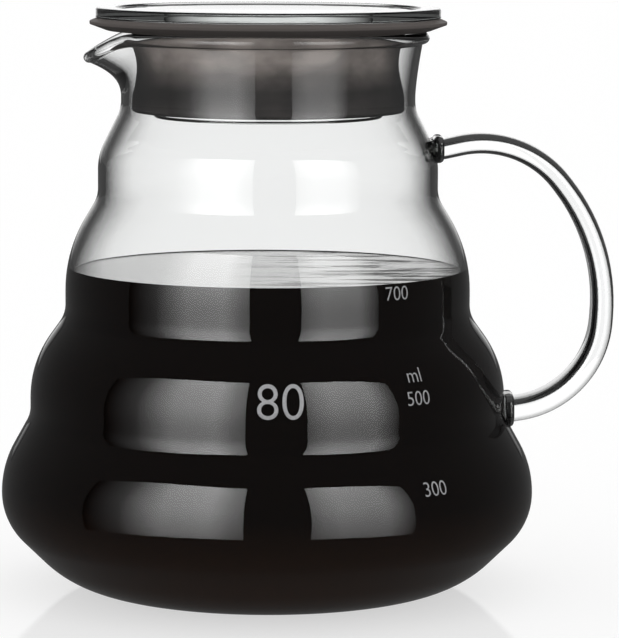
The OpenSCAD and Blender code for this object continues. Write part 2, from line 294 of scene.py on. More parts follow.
def rounded(path):
    """Points of a path of (across, up, rounding) corners, with its corners rounded."""
    points = []
    for i, corner in enumerate(path):
        spot = Vector(corner[:2])
        own = wish(path, i)
        if own == 0 or abs(bend(path, i)) < math.radians(SLIGHT_BEND):
            points.append(spot)
            continue
        before = STRAIGHT_SHARE * leg(path, i - 1) / (wish(path, i - 1) + own)
        after = STRAIGHT_SHARE * leg(path, i) / (own + wish(path, i + 1))
        reach = own * min(1.0, before, after)
        a, turn = way(path, i - 1), bend(path, i)
        radius = reach / math.tan(abs(turn) / 2)
        side = Vector((-a.y, a.x)) * math.copysign(1.0, turn)
        centre = spot - reach * a + radius * side
        first = math.atan2(-side.y, -side.x)
        steps = max(1, math.ceil(math.degrees(abs(turn)) / FINE_ARC))
        for k in range(steps + 1):
            t = first + turn * k / steps
            points.append(centre + radius * Vector((math.cos(t), math.sin(t))))
    return points


def moved_in(path, distance):
    """The same path moved to its right by a distance, with its roundings fitted."""
    moved = []
    for i, corner in enumerate(path):
        a, b = way(path, max(i - 1, 0)), way(path, min(i, len(path) - 2))
        to_right = Vector((a.y + b.y, -a.x - b.x)) * (distance / (1 + a.dot(b)))
        turn = math.copysign(1.0, bend(path, i)) if 0 < i < len(path) - 1 else 0.0
        across, up = corner[0] + to_right.x, corner[1] + to_right.y
        moved.append((across, up, max(corner[2] + turn * distance, 0.0)))
    return moved


class Outline:
    """Outlines of the bowl and the places that other pieces take from it."""

    # Height above the middle of the neck's waist at which the mouth flares and the lip begins
    lip_start = 1.2 * MM
    # Share of each tier, from its top down, at which its side turns into its crest
    upper_turn, middle_turn, lower_turn, bowl_turn = 0.53, 0.465, 0.487, 0.5
    # Powers of the mouth's flare up the wall and of the lip's pull round the rim
    flare_power, round_power = 1.4, 1.2

    def __init__(self, bowl):
        self.bowl = bowl
        self.bowl_r = bowl.width / 2
        self.lower_r = self.bowl_r - bowl.lower_in
        self.middle_r = self.lower_r - bowl.middle_in
        self.upper_r = self.middle_r - bowl.upper_in
        self.neck_r = self.upper_r - bowl.neck_in
        self.lower_step = bowl.height
        self.middle_step = self.lower_step + bowl.lower_height
        self.upper_step = self.middle_step + bowl.middle_height
        self.neck_z = self.upper_step + bowl.upper_height
        self.mouth_z = self.neck_z + bowl.neck_height / 2
        self.rim_z = self.neck_z + bowl.neck_height + bowl.mouth_height
        self.bead_r = bowl.bead / 2
        self.bead_z = self.rim_z - self.bead_r
        self.rim_r = self.neck_r + bowl.flare
        self.lip_foot = self.mouth_z + self.lip_start
        foot_r = bowl.foot / 2

        def slope(high, low, part):
            """The height that is a part of the way down from one height to another."""
            return high - part * (high - low)

        self.corners = [
            (self.neck_r, self.mouth_z, 0.0),
            (self.neck_r, self.neck_z, bowl.step),
            (self.upper_r, slope(self.neck_z, self.upper_step, self.upper_turn), bowl.upper_crest),
            (self.upper_r, self.upper_step, bowl.step),
            (self.middle_r, slope(self.upper_step, self.middle_step, self.middle_turn), bowl.middle_crest),
            (self.middle_r, self.middle_step, bowl.step),
            (self.lower_r, slope(self.middle_step, self.lower_step, self.lower_turn), bowl.lower_crest),
            (self.lower_r, self.lower_step, bowl.step),
            (self.bowl_r, slope(self.lower_step, bowl.belly, self.bowl_turn), bowl.bowl_crest),
            (self.bowl_r, bowl.belly, bowl.belly_round),
            (foot_r, 0.0, bowl.foot_round),
            (0.0, 0.0, 0.0),
        ]
        self.outside = rounded(self.corners)

    def inside(self, depth):
        """The outline at a depth in the glass, down to the floor's upper side."""
        inner = moved_in(self.corners, depth)
        floor = self.bowl.floor - (self.bowl.wall - depth)
        inner[-2:] = [(c[0], floor, c[2]) for c in inner[-2:]]
        return rounded(inner)

    def radius_at(self, z, line=None):
        """Radius of an outline at the height z."""
        line = line or self.outside
        for a, b in zip(line, line[1:]):
            if b.y <= z <= a.y and a.y > b.y:
                return b.x + (a.x - b.x) * (z - b.y) / (a.y - b.y)
        return self.neck_r

    def share_up(self, z, top):
        """How far up the stretch from the lip's foot to a top the height z is, from 0 to 1."""
        return min(max((z - self.lip_foot) / (top - self.lip_foot), 0.0), 1.0)

    def rise(self, r, z):
        """How far up the pulled wall a point is; the inner side lags behind by the wall's thickness."""
        flared = self.neck_r + self.bowl.flare * self.share_up(z, self.bead_z) ** self.flare_power
        return self.share_up(z - max(flared - r, 0.0), self.bead_z - self.bead_r)

    def wall_at(self, t, depth=0.0):
        """A point of the flared wall at the share t of its height and a depth in the glass."""
        thick = self.bowl.wall + (self.bead_r - self.bowl.wall) * t
        across = self.neck_r + self.bowl.flare * t**self.flare_power - thick * depth
        return Vector((across, self.lip_foot + t * (self.bead_z - self.lip_foot)))

    def mouth(self, levels=32, bead_steps=24):
        """The flared wall and the bead, up the outside and down the inside."""
        bead_foot = 1 - self.bead_r / (self.bead_z - self.lip_foot)
        points = [self.wall_at(bead_foot * k / levels) for k in range(levels + 1)]
        for k in range(1, bead_steps + 1):
            t = math.radians(-90 + 270 * k / (bead_steps + 1))
            spot = Vector((self.rim_r, self.bead_z))
            points.append(spot + self.bead_r * Vector((math.cos(t), math.sin(t))))
        points += [self.wall_at(k / levels, 1.0) for k in range(levels, -1, -1)]
        return points

    def pull(self, turn):
        """How much of the lip's pull a direction gets."""
        off = abs(math.remainder(turn - math.pi, math.tau))
        if off >= self.bowl.lip_half:
            return 0.0
        return ((1 + math.cos(off * math.pi / self.bowl.lip_half)) / 2) ** self.round_power


# Modelling by hand

def nothing_selected():
    """Leaves edit mode and deselects every object."""
    if bpy.context.mode != "OBJECT":
        bpy.ops.object.mode_set(mode="OBJECT")
    bpy.ops.object.select_all(action="DESELECT")


def settled(name):
    """Names the active object and puts its place into its mesh."""
    nothing_selected()
    piece = bpy.context.object
    piece.select_set(True)
    bpy.ops.object.transform_apply(location=True, rotation=True, scale=True)
    piece.name = piece.data.name = name
    return piece


def drawn(name, points):
    """Draws a line in the XZ plane by extruding a corner from point to point."""
    nothing_selected()
    bpy.ops.mesh.primitive_plane_add(size=MM, location=(points[0][0], 0, points[0][1]))
    bpy.ops.object.mode_set(mode="EDIT")
    bpy.ops.mesh.select_mode(type="VERT")
    bpy.ops.mesh.merge(type="CENTER")
    for a, b in zip(points, points[1:]):
        bpy.ops.mesh.extrude_region_move(TRANSFORM_OT_translate={"value": (b[0] - a[0], 0, b[1] - a[1])})
    return settled(name)


def welded():
    """Merges doubles and points the faces outwards, in edit mode."""
    bpy.ops.mesh.select_all(action="SELECT")
    bpy.ops.mesh.remove_doubles(threshold=WELD)
    bpy.ops.mesh.normals_make_consistent(inside=False)


def turned(line, sides, sweep=math.tau):
    """Spins a drawn line round the server's axis and closes its seam."""
    nothing_selected()
    line.select_set(True)
    bpy.context.view_layer.objects.active = line
    bpy.ops.object.mode_set(mode="EDIT")
    bpy.ops.mesh.select_all(action="SELECT")
    # Spin goes clockwise seen from above, so it is given the sweep's opposite
    bpy.ops.mesh.spin(steps=sides, angle=-sweep, center=(0, 0, 0), axis=AXIS)
    welded()
    bpy.ops.object.mode_set(mode="OBJECT")
    return line


def smoothed(piece, degrees=180):
    """Smooth shading, with edges sharper than an angle kept."""
    nothing_selected()
    piece.select_set(True)
    bpy.context.view_layer.objects.active = piece
    if degrees >= 180:
        bpy.ops.object.shade_smooth()
    else:
        bpy.ops.object.shade_smooth_by_angle(angle=math.radians(degrees))
    return piece


# Materials

class Shader:
    """The node tree of a material or of the world, built from short calls."""

    def __init__(self, name, kind="Material"):
        self.owner = getattr(bpy.data, kind.lower() + "s").new(name)
        self.owner.use_nodes = True
        self.tree = self.owner.node_tree
        self.tree.nodes.clear()
        self.output = self.add("Output" + kind)

    def fill(self, socket, value):
        """Links an input to another node's output, or sets it."""
        if isinstance(value, bpy.types.NodeSocket):
            self.tree.links.new(value, socket)
        else:
            socket.default_value = value

    def add(self, kind, **values):
        """A node whose settings and inputs are given by name."""
        node = self.tree.nodes.new("ShaderNode" + kind)
        for key, value in values.items():
            if hasattr(node, key):
                setattr(node, key, value)
            else:
                self.fill(node.inputs[key.replace("_", " ")], value)
        return node

    def join(self, kind, *values, **settings):
        """A node whose first inputs are given in order."""
        node = self.add(kind, **settings)
        for socket, value in zip(node.inputs, values):
            self.fill(socket, value)
        return node.outputs[0]

    def math(self, operation, a, b, **settings):
        """Two values worked into one."""
        return self.join("Math", a, b, operation=operation, **settings)

    def product(self, a, b):
        """Two values multiplied."""
        return self.math("MULTIPLY", a, b)

    def tinted(self, factor, a, b, **settings):
        """Two colours mixed by a factor."""
        node = self.add("Mix", data_type="RGBA", **settings)
        for socket, value in ((0, factor), (6, a), (7, b)):
            self.fill(node.inputs[socket], value)
        return node.outputs[2]

    def object_place(self, scale=(1, 1, 1)):
        """Object coordinates, stretched by a scale."""
        where = self.add("TexCoord").outputs["Object"]
        return self.add("Mapping", Vector=where, Scale=scale).outputs["Vector"]

    def along(self, axis, low, high):
        """How far a place lies along an axis, from 0 to 1 between two limits."""
        place = self.add("SeparateXYZ", Vector=self.object_place()).outputs[axis]
        return self.add("MapRange", Value=place, From_Min=low, From_Max=high).outputs["Result"]

    def noise(self, scale, detail=3.0, stretch=(1, 1, 1), roughness=0.5):
        """Soft noise with a number of blobs a metre."""
        place = self.object_place(stretch)
        node = self.add("TexNoise", Vector=place, Scale=scale, Detail=detail, Roughness=roughness)
        return node.outputs["Fac"]

    def ramp(self, factor, *stops):
        """A colour ramp of (place, colour or grey) stops."""
        node = self.add("ValToRGB", Fac=factor)
        for i, (place, value) in enumerate(stops):
            stop = node.color_ramp.elements[i] if i < 2 else node.color_ramp.elements.new(place)
            stop.position = place
            stop.color = (*value, 1) if hasattr(value, "__len__") else (value, value, value, 1)
        return node.outputs["Color"]

    def facing(self, *stops):
        """A ramp from what is seen straight on, at 0, to what is seen edge on, at 1."""
        return self.ramp(self.add("LayerWeight", Blend=0.5).outputs["Facing"], *stops)

    def bump(self, height, strength, distance):
        """The bumps of a height."""
        return self.add("Bump", Height=height, Strength=strength, Distance=distance).outputs["Normal"]

    def finish(self, surface, volume=None):
        """Closes the tree with its surface, and its volume where it has one."""
        self.fill(self.output.inputs["Surface"], surface)
        if volume:
            self.fill(self.output.inputs["Volume"], volume)
        return self.owner


def worn(piece, *materials):
    """Puts materials on a piece, in the order of its slots."""
    piece.data.materials.clear()
    for material in materials:
        piece.data.materials.append(material)
    return piece


def unlit_by_panels(piece):
    """Keeps the light panels out of a piece's reflections."""
    unlit = bpy.data.collections.get(UNLIT) or bpy.data.collections.new(UNLIT)
    unlit.objects.link(piece)
    unlit.collection_objects[-1].light_linking.link_state = "EXCLUDE"


def clear_glass(name, tint, edge, ripple, depth, smoke_and_glow, density):
    """Clear glass with the slow ripple of hand work, and painted shade where it is looked at edge on.

    The edge holds the two facings, from 0 to 1, between which painted shade darkens the glass, and how
    dark it gets; the shade stands in for the dark surroundings seen through the glass's edges. Ripple is
    in waves a metre, and depth is their height. Smoke and density are the glass's own colour and how soon
    it takes up light, a metre.
    """
    s = Shader(name)
    cloud = s.ramp(s.noise(ripple * 0.4, 1.0), (0.3, [c * 0.994 for c in tint]), (0.7, tint))
    # Painted shade: the glass's colour darkens where it is seen edge on, in place of the dark surroundings
    # seen through its edges
    rim = s.facing((edge[0], 1.0), (edge[1], edge[2]))
    glass = s.add(
        "BsdfPrincipled",
        Base_Color=s.tinted(1.0, cloud, rim, blend_type="MULTIPLY"),
        Roughness=0.0,
        IOR=1.47,
        Transmission_Weight=1.0,
        Normal=s.bump(s.noise(ripple, 1.5, (1, 1, 0.45)), 0.35, depth),
    )
    dim = s.add("VolumeAbsorption", Color=(*smoke_and_glow, 1), Density=density)
    return s.finish(glass.outputs[0], dim.outputs[0])


def silicone(tint, smoke_and_glow, low, high):
    """Smoky silicone: matt, and painted lighter where light comes through the upper half of the plug."""
    s = Shader("smoky_silicone")
    height = s.along("Z", low, high)
    # Painted light: the upper half of the plug is mixed towards the lit colour, most where it is seen
    # straight on, with painted shade at its sides; the flange is lifted part way towards the lit colour
    through = s.ramp(height, (0.0, 0.12), (0.28, 0.08), (0.45, 0.35), (0.6, 1.0), (0.84, 1.0), (0.88, 0.0))
    front = s.facing((0.1, 1.0), (0.45, 0.8), (0.8, 0.15))
    cloud = s.ramp(s.noise(95, 3.0, (1, 1, 1.6)), (0.38, 0.55), (0.62, 1.0))
    collar = s.ramp(height, (0.84, 0.0), (0.88, 0.22), (1.0, 0.35))
    painted_glow = s.math("MAXIMUM", s.product(s.product(through, front), cloud), collar)
    body = s.add(
        "BsdfPrincipled",
        Base_Color=s.tinted(painted_glow, (*tint, 1), (*smoke_and_glow, 1)),
        Roughness=s.ramp(s.noise(140, 2.0), (0.3, 0.38), (0.7, 0.5)),
        IOR=1.42,
        Specular_IOR_Level=0.03,
        Normal=s.bump(s.noise(90, 1.0), 0.1, 0.2 * MM),
    )
    return s.finish(body.outputs[0])


def coffee_depth(deep, thin, level):
    """Coffee seen through the glass: near black, and painted browner towards the bottom, where light from
    below shows through it.
    """
    s = Shader("coffee_depth")
    # Painted light: browner coffee towards the bottom, in place of light from below showing through it
    shade = s.ramp(s.along("Z", 0.0, level), (0.03, thin), (0.34, deep))
    body = s.add("BsdfPrincipled", Base_Color=shade, Roughness=0.6, IOR=1.33, Specular_IOR_Level=0.0)
    return s.finish(body.outputs[0])


def coffee_top(deep, thin):
    """The coffee's surface: a dark mirror with dull oily streaks towards the handle."""
    s = Shader("coffee_surface")
    streak = s.noise(150, 5.0, (0.35, 1.6, 1), 0.62)
    side = s.ramp(s.along("X", -0.05, 0.05), (0.35, 0.12), (0.85, 1.0))
    dull = s.product(s.ramp(streak, (0.46, 0.0), (0.6, 1.0)), side)
    body = s.add(
        "BsdfPrincipled",
        Base_Color=s.ramp(streak, (0.35, deep), (0.75, thin)),
        Roughness=s.ramp(dull, (0.0, 0.03), (1.0, 0.5)),
        IOR=1.9,
        Normal=s.bump(s.noise(130, 2.0), 0.12, 0.12 * MM),
    )
    return s.finish(body.outputs[0])


def ceramic_print(tint):
    """Fired light-grey print with a slightly uneven coat."""
    s = Shader("scale_print")
    shade = s.ramp(s.noise(1800, 2.0), (0.3, [c * 0.82 for c in tint]), (0.7, tint))
    body = s.add("BsdfPrincipled", Base_Color=shade, Roughness=0.55, IOR=1.5)
    return s.finish(body.outputs[0])


# Operators

class ServerStep:
    """What the operators share."""

    @property
    def settings(self):
        """The settings of the coffee server."""
        return bpy.context.scene.server


class MakeGlass(ServerStep, bpy.types.Operator):
    """Spin the blown bowl and pull its pouring lip"""

    bl_idname = "server.make_glass"
    bl_label = "Blown glass"

    # Powers of the laws by which the lip is pulled out and drawn down, up the wall
    pull_power, drop_power = 2.5, 1.2

    def execute(self, context):
        kit = self.settings
        shape = Outline(kit.bowl)
        inside = shape.inside(kit.bowl.wall)
        # From the middle of the foot up the outside, over the bead and down to the floor
        line = shape.outside[::-1][:-1] + shape.mouth() + inside[1:]
        server = turned(drawn("server_glass", line), GLASS_SIDES)
        for corner in server.data.vertices:
            spot = corner.co
            pull = shape.pull(math.atan2(spot.y, spot.x))
            if pull > 0 and spot.z > shape.lip_foot:
                r = math.hypot(spot.x, spot.y)
                rise = shape.rise(r, spot.z)
                spot.xy = spot.xy * ((r + kit.bowl.lip_reach * pull * rise**self.pull_power) / r)
                spot.z -= kit.bowl.lip_drop * pull * rise**self.drop_power
        smoothed(server)
        # The edge setting gives the painted shade along the glass's edges
        worn(server, clear_glass(
            "blown_glass", kit.finish.glass, edge=(0.45, 0.85, 0.2),
            ripple=26, depth=0.5 * MM, smoke_and_glow=GLASS_SMOKE, density=3,
        ))
        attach(server, "carafe")
        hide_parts("glass_body")
        return {"FINISHED"}


def handle_path(kit, shape):
    """Middle line of the handle from the upper pad's face to the lower one, and the pads' heights."""
    handle = kit.handle
    high = shape.upper_step + handle.upper_rise
    low = shape.lower_step + handle.lower_rise
    high_x = shape.radius_at(high) + handle.pad
    low_x = shape.radius_at(low) + handle.pad
    corners = [(high_x, high, 0.0)]
    turns = (handle.top_round, handle.grip_round, handle.low_round)
    for (out, up), turn in zip(HANDLE_CORNERS, turns):
        corners.append((high_x + out * handle.reach, low + up * (high - low), turn))
    corners.append((low_x, low, 0.0))
    return rounded(corners), high, low


class MakeHandle(ServerStep, bpy.types.Operator):
    """Sweep the bent glass handle and set its two pads"""

    bl_idname = "server.make_handle"
    bl_label = "Handle and pads"

    # Sides of the handle's section and of the pads, and steps of the pads' rounding
    sides, pad_sides, round_steps = 40, 96, 6
    # How far the handle reaches into its pads; they reach half as far into the wall
    overlap = 0.4 * MM

    def section(self, thick, broad, power):
        """Corners of the handle's section, as (out, across)."""
        for k in range(self.sides):
            t = math.tau * k / self.sides
            c, s = math.cos(t), math.sin(t)
            yield (
                math.copysign(abs(c) ** (2 / power), c) * thick / 2,
                math.copysign(abs(s) ** (2 / power), s) * broad / 2,
            )

    def sweep(self, path, thickness, handle):
        """Extrudes the section along the path, station by station."""
        nothing_selected()
        bpy.ops.mesh.primitive_circle_add(
            vertices=self.sides,
            radius=handle.breadth / 2,
            fill_type="NGON",
            location=(path[0].x, 0, path[0].y),
        )
        settled("server_handle")
        rod = bpy.context.object
        count = len(path)
        bpy.ops.object.mode_set(mode="EDIT")
        bpy.ops.mesh.select_mode(type="VERT")
        bpy.ops.mesh.select_all(action="SELECT")
        for a, b in zip(path, path[1:]):
            bpy.ops.mesh.extrude_region_move(TRANSFORM_OT_translate={"value": (b.x - a.x, 0, b.y - a.y)})
        bpy.ops.object.mode_set(mode="OBJECT")
        corners = rod.data.vertices
        for i, spot in enumerate(path):
            if i in (0, count - 1):
                ahead = Vector((1 if i == 0 else -1, 0))
            else:
                after, before = (path[i + 1] - spot).normalized(), (spot - path[i - 1]).normalized()
                ahead = (after + before).normalized()
            ring = self.section(thickness(spot.y), handle.breadth, handle.squareness)
            for k, (out, across) in enumerate(ring):
                corners[i * self.sides + k].co = (spot.x - out * ahead.y, across, spot.y + out * ahead.x)
        nothing_selected()
        rod.select_set(True)
        bpy.ops.object.mode_set(mode="EDIT")
        welded()
        return settled("server_handle")

    def pad(self, name, z, size, face, shape, handle):
        """A pad with round ends, a little broader than the handle, whose back follows the wall."""
        nothing_selected()
        deep = face - shape.radius_at(z) + self.overlap
        bpy.ops.mesh.primitive_cylinder_add(
            vertices=self.pad_sides,
            radius=size / 2,
            depth=deep,
            location=(face - deep / 2, 0, z),
            rotation=(0, math.pi / 2, 0),
        )
        pad = settled(name)
        apart = handle.breadth / 2 + handle.beside - size / 2
        for corner in pad.data.vertices:
            corner.co.y += math.copysign(apart, corner.co.y) if abs(corner.co.y) > WELD else 0.0
        bpy.ops.object.mode_set(mode="EDIT")
        bpy.ops.mesh.select_mode(type="EDGE")
        bpy.ops.object.mode_set(mode="OBJECT")
        for edge in pad.data.edges:
            edge.select = all(pad.data.vertices[v].co.x > face - deep / 2 for v in edge.vertices)
        bpy.ops.object.mode_set(mode="EDIT")
        bpy.ops.mesh.bevel(offset=handle.pad_round, segments=self.round_steps)
        bpy.ops.object.mode_set(mode="OBJECT")
        back = face - deep + WELD
        for corner in pad.data.vertices:
            if corner.co.x < back:
                wall = shape.radius_at(corner.co.z)
                corner.co.x = math.sqrt(wall**2 - corner.co.y**2) - self.overlap / 2
        return smoothed(settled(name), degrees=40)

    def execute(self, context):
        kit = self.settings
        handle = kit.handle
        shape = Outline(kit.bowl)
        path, high, low = handle_path(kit, shape)
        ends = [Vector((end.x - self.overlap, end.y)) for end in (path[0], path[-1])]

        def thickness(z):
            t = min(max((z - low) / (high - low), 0.0), 1.0)
            return handle.low_thickness + (handle.top_thickness - handle.low_thickness) * t

        rod = smoothed(self.sweep([ends[0], *path, ends[1]], thickness, handle), degrees=40)
        # The edge settings give the painted shade along the handle's and the pads' edges
        glass = clear_glass(
            "handle_glass", kit.finish.glass, edge=(0.1, 0.45, 0.35),
            ripple=60, depth=0.3 * MM, smoke_and_glow=GLASS_SMOKE, density=6,
        )
        pad_glass = clear_glass(
            "pad_glass", kit.finish.glass, edge=(0.2, 0.7, 0.15),
            ripple=160, depth=0.8 * MM, smoke_and_glow=(0.5, 0.55, 0.54), density=25,
        )
        pads = [
            self.pad("upper_pad", high, handle.upper_pad, path[0].x, shape, handle),
            self.pad("lower_pad", low, handle.lower_pad, path[-1].x, shape, handle),
        ]
        for piece, node, slot, finish in zip(
            [rod, *pads],
            ("handle", "upper_handle_pad", "lower_handle_pad"),
            ("handle_glass", "pad_glass", "pad_glass"),
            (glass, pad_glass, pad_glass),
        ):
            worn(piece, finish)
            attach(piece, "carafe")
            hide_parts(node)
        return {"FINISHED"}


class LidPlaces:
    """Radii and heights that the disc and the collar share."""

    def __init__(self, kit):
        lid, shape = kit.lid, Outline(kit.bowl)
        neck = shape.neck_r - kit.bowl.wall
        self.top_r = neck - lid.top_gap
        self.ring_r = neck - lid.ring_gap
        self.waist_r = self.ring_r - lid.waist_in
        self.bore_r = self.waist_r - lid.plug_wall
        self.stem_r = self.bore_r - lid.stem_gap
        self.rim_out = shape.rim_r + shape.bead_r
        self.disc_r = self.rim_out + lid.disc_over
        self.flange_r = self.disc_r + lid.flange_over
        self.seat = shape.rim_z + lid.seat_gap
        self.flange_top = self.seat + lid.flange
        self.disc_z = self.flange_top + lid.seat_gap
        self.plug_low = self.seat - lid.plug


class MakeDisc(ServerStep, bpy.types.Operator):
    """Spin the clear disc with its dish and hollow stem"""

    bl_idname = "server.make_disc"
    bl_label = "Clear lid"

    def execute(self, context):
        kit = self.settings
        lid, at = kit.lid, LidPlaces(kit)
        top, low = at.disc_z + lid.disc, at.plug_low - lid.stem_show
        dish_r, inner = at.disc_r - lid.border, at.stem_r - lid.stem_wall
        outline = rounded([
            (0, top - lid.dish, 0),
            (dish_r - lid.dish, top - lid.dish, lid.dish),
            (dish_r, top, lid.dish),
            (at.disc_r, top, lid.disc_round),
            (at.disc_r, at.disc_z, lid.disc_round),
            (at.stem_r, at.disc_z, lid.stem_root),
            (at.stem_r, low, lid.stem_wall / 2),
            (inner, low, lid.stem_wall / 2),
            (inner, at.disc_z, lid.stem_wall),
            (0, at.disc_z, 0),
        ])
        disc = smoothed(turned(drawn("lid_glass", outline), LID_SIDES), degrees=50)
        # The edge setting gives a faint painted shade at the disc's very edge
        worn(disc, clear_glass(
            "lid_clear", kit.finish.lid_glass, edge=(0.9, 1.0, 0.9),
            ripple=70, depth=0.2 * MM, smoke_and_glow=(0.5, 0.53, 0.52), density=10,
        ))
        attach(disc, "disc")
        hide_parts("lid_disc")
        unlit_by_panels(disc)
        return {"FINISHED"}


class MakeCollar(ServerStep, bpy.types.Operator):
    """Spin the silicone collar with its flange and waisted plug"""

    bl_idname = "server.make_collar"
    bl_label = "Silicone collar"

    def execute(self, context):
        kit = self.settings
        lid, at = kit.lid, LidPlaces(kit)
        ring_top = at.plug_low + lid.ring
        edge = at.seat + lid.curl
        outline = rounded([
            (at.bore_r, at.flange_top, 0),
            (at.bore_r, at.plug_low, 0),
            (at.ring_r, at.plug_low, lid.ring_round),
            (at.ring_r, ring_top, lid.ring),
            (at.waist_r, (ring_top + at.seat) / 2, lid.waist_round),
            (at.top_r, at.seat, lid.flange / 4),
            (at.rim_out, at.seat, lid.flange),
            (at.flange_r, edge, lid.flange_edge / 3),
            (at.flange_r, edge + lid.flange_edge, lid.flange_edge / 3),
            (at.disc_r, at.flange_top, lid.flange_edge),
            (at.bore_r, at.flange_top, 0),
        ])
        collar = smoothed(turned(drawn("lid_collar", outline), LID_SIDES), degrees=40)
        worn(collar, silicone(kit.finish.silicone, kit.finish.smoke_and_glow, at.plug_low, at.flange_top))
        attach(collar, "seal")
        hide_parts("lid_seal")
        return {"FINISHED"}


class PourCoffee(ServerStep, bpy.types.Operator):
    """Fill the bowl with coffee up to its level"""

    bl_idname = "server.pour_coffee"
    bl_label = "Coffee"

    # How far the coffee reaches into the wall, so that no air shows between
    soak = 0.1 * MM
    # Least step between the points of its outline up the wall
    least = 0.05 * MM
    # Points of the curve down from the wall, and how many of its widths the curve is drawn over
    points, widths = 12, 4
    # Radius of each ring of the flat middle, as a share of the one before
    rings = (0.8, 0.6, 0.4, 0.2, 0.0)
    # A face is part of the surface if it lies no deeper than this and looks up at least so much
    skin, upward = 0.01 * MM, 0.2

    def execute(self, context):
        kit = self.settings
        pour, shape = kit.coffee, Outline(kit.bowl)
        wall = shape.inside(kit.bowl.wall - self.soak)
        top = pour.level + pour.meniscus
        line = [p for p in wall if p.y < top - self.least][::-1]
        edge = shape.radius_at(top, wall)
        line.append(Vector((edge, top)))
        for k in range(1, self.points + 1):
            inward = pour.meniscus_width * self.widths * (k / self.points) ** 2
            climb = pour.meniscus * math.exp(-inward / pour.meniscus_width)
            line.append(Vector((edge - inward, pour.level + climb)))
        for part in self.rings:
            line.append(Vector((line[-1].x * part, pour.level)))
        coffee = turned(drawn("coffee", line), GLASS_SIDES)
        worn(
            coffee,
            coffee_depth(kit.finish.coffee, kit.finish.thin_coffee, pour.level),
            coffee_top(kit.finish.coffee, kit.finish.thin_coffee),
        )
        smoothed(coffee, degrees=50)
        for face in coffee.data.polygons:
            high = face.center.z > pour.level - self.skin
            face.material_index = int(high and face.normal.z > self.upward)
        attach(coffee, "carafe")
        return {"FINISHED"}


class PrintScale(ServerStep, bpy.types.Operator):
    """Print the plain volume numbers on the outside of the glass"""

    bl_idname = "server.print_scale"
    bl_label = "Volume scale"

    # Gap to the glass, thickness of the print and width of the strips that bend round the glass
    lift = 0.02 * MM
    coat = 0.03 * MM
    cut = 0.5 * MM
    # How much thinner the strokes are drawn, and the size of the type, as shares of the height
    thin, type_size = 0.012, 1.4

    def number(self, words, size, turn, z, shape):
        """Plain numbers wrapped round the glass at a height, turned from the front."""
        nothing_selected()
        bpy.ops.object.text_add()
        text = bpy.context.object
        text.data.body = words
        text.data.align_x = "CENTER"
        text.data.align_y = "CENTER"
        text.data.size = size * self.type_size
        text.data.offset = -self.thin * size
        bpy.ops.object.convert(target="MESH")
        label = bpy.context.object
        bpy.ops.object.mode_set(mode="EDIT")
        span = label.dimensions
        for axis in (0, 1):
            normal = (1, 0, 0) if axis == 0 else (0, 1, 0)
            steps = int(span[axis] / 2 / self.cut) + 1
            for k in range(-steps, steps + 1):
                bpy.ops.mesh.select_all(action="SELECT")
                place = [0.0, 0.0, 0.0]
                place[axis] = k * self.cut
                bpy.ops.mesh.bisect(plane_co=place, plane_no=normal)
        bpy.ops.object.mode_set(mode="OBJECT")
        for corner in label.data.vertices:
            up = z + corner.co.y
            r = shape.radius_at(up) + self.lift
            around = -math.pi / 2 + turn + corner.co.x / r
            corner.co = (r * math.cos(around), r * math.sin(around), up)
        return settled("print_" + words)

    def execute(self, context):
        kit = self.settings
        shape, pour = Outline(kit.bowl), kit.coffee
        small = (pour.number_height, pour.scale_turn)
        labels = [
            self.number("700", *small, pour.mark_700, shape),
            self.number("500", *small, pour.mark_500, shape),
            self.number("300", *small, pour.mark_300, shape),
            self.number("ml", *small, pour.unit_mark, shape),
            self.number("80", pour.large_height, pour.large_turn, pour.large_mark, shape),
        ]
        nothing_selected()
        for label in labels:
            label.select_set(True)
        bpy.context.view_layer.objects.active = labels[0]
        bpy.ops.object.join()
        bpy.ops.object.modifier_add(type="SOLIDIFY")
        coat = labels[0].modifiers[-1]
        coat.thickness = self.coat
        coat.offset = 1.0
        bpy.ops.object.modifier_apply(modifier=coat.name)
        scale = settled("volume_scale")
        worn(scale, ceramic_print(kit.finish.print))
        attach(scale, "carafe")
        return {"FINISHED"}


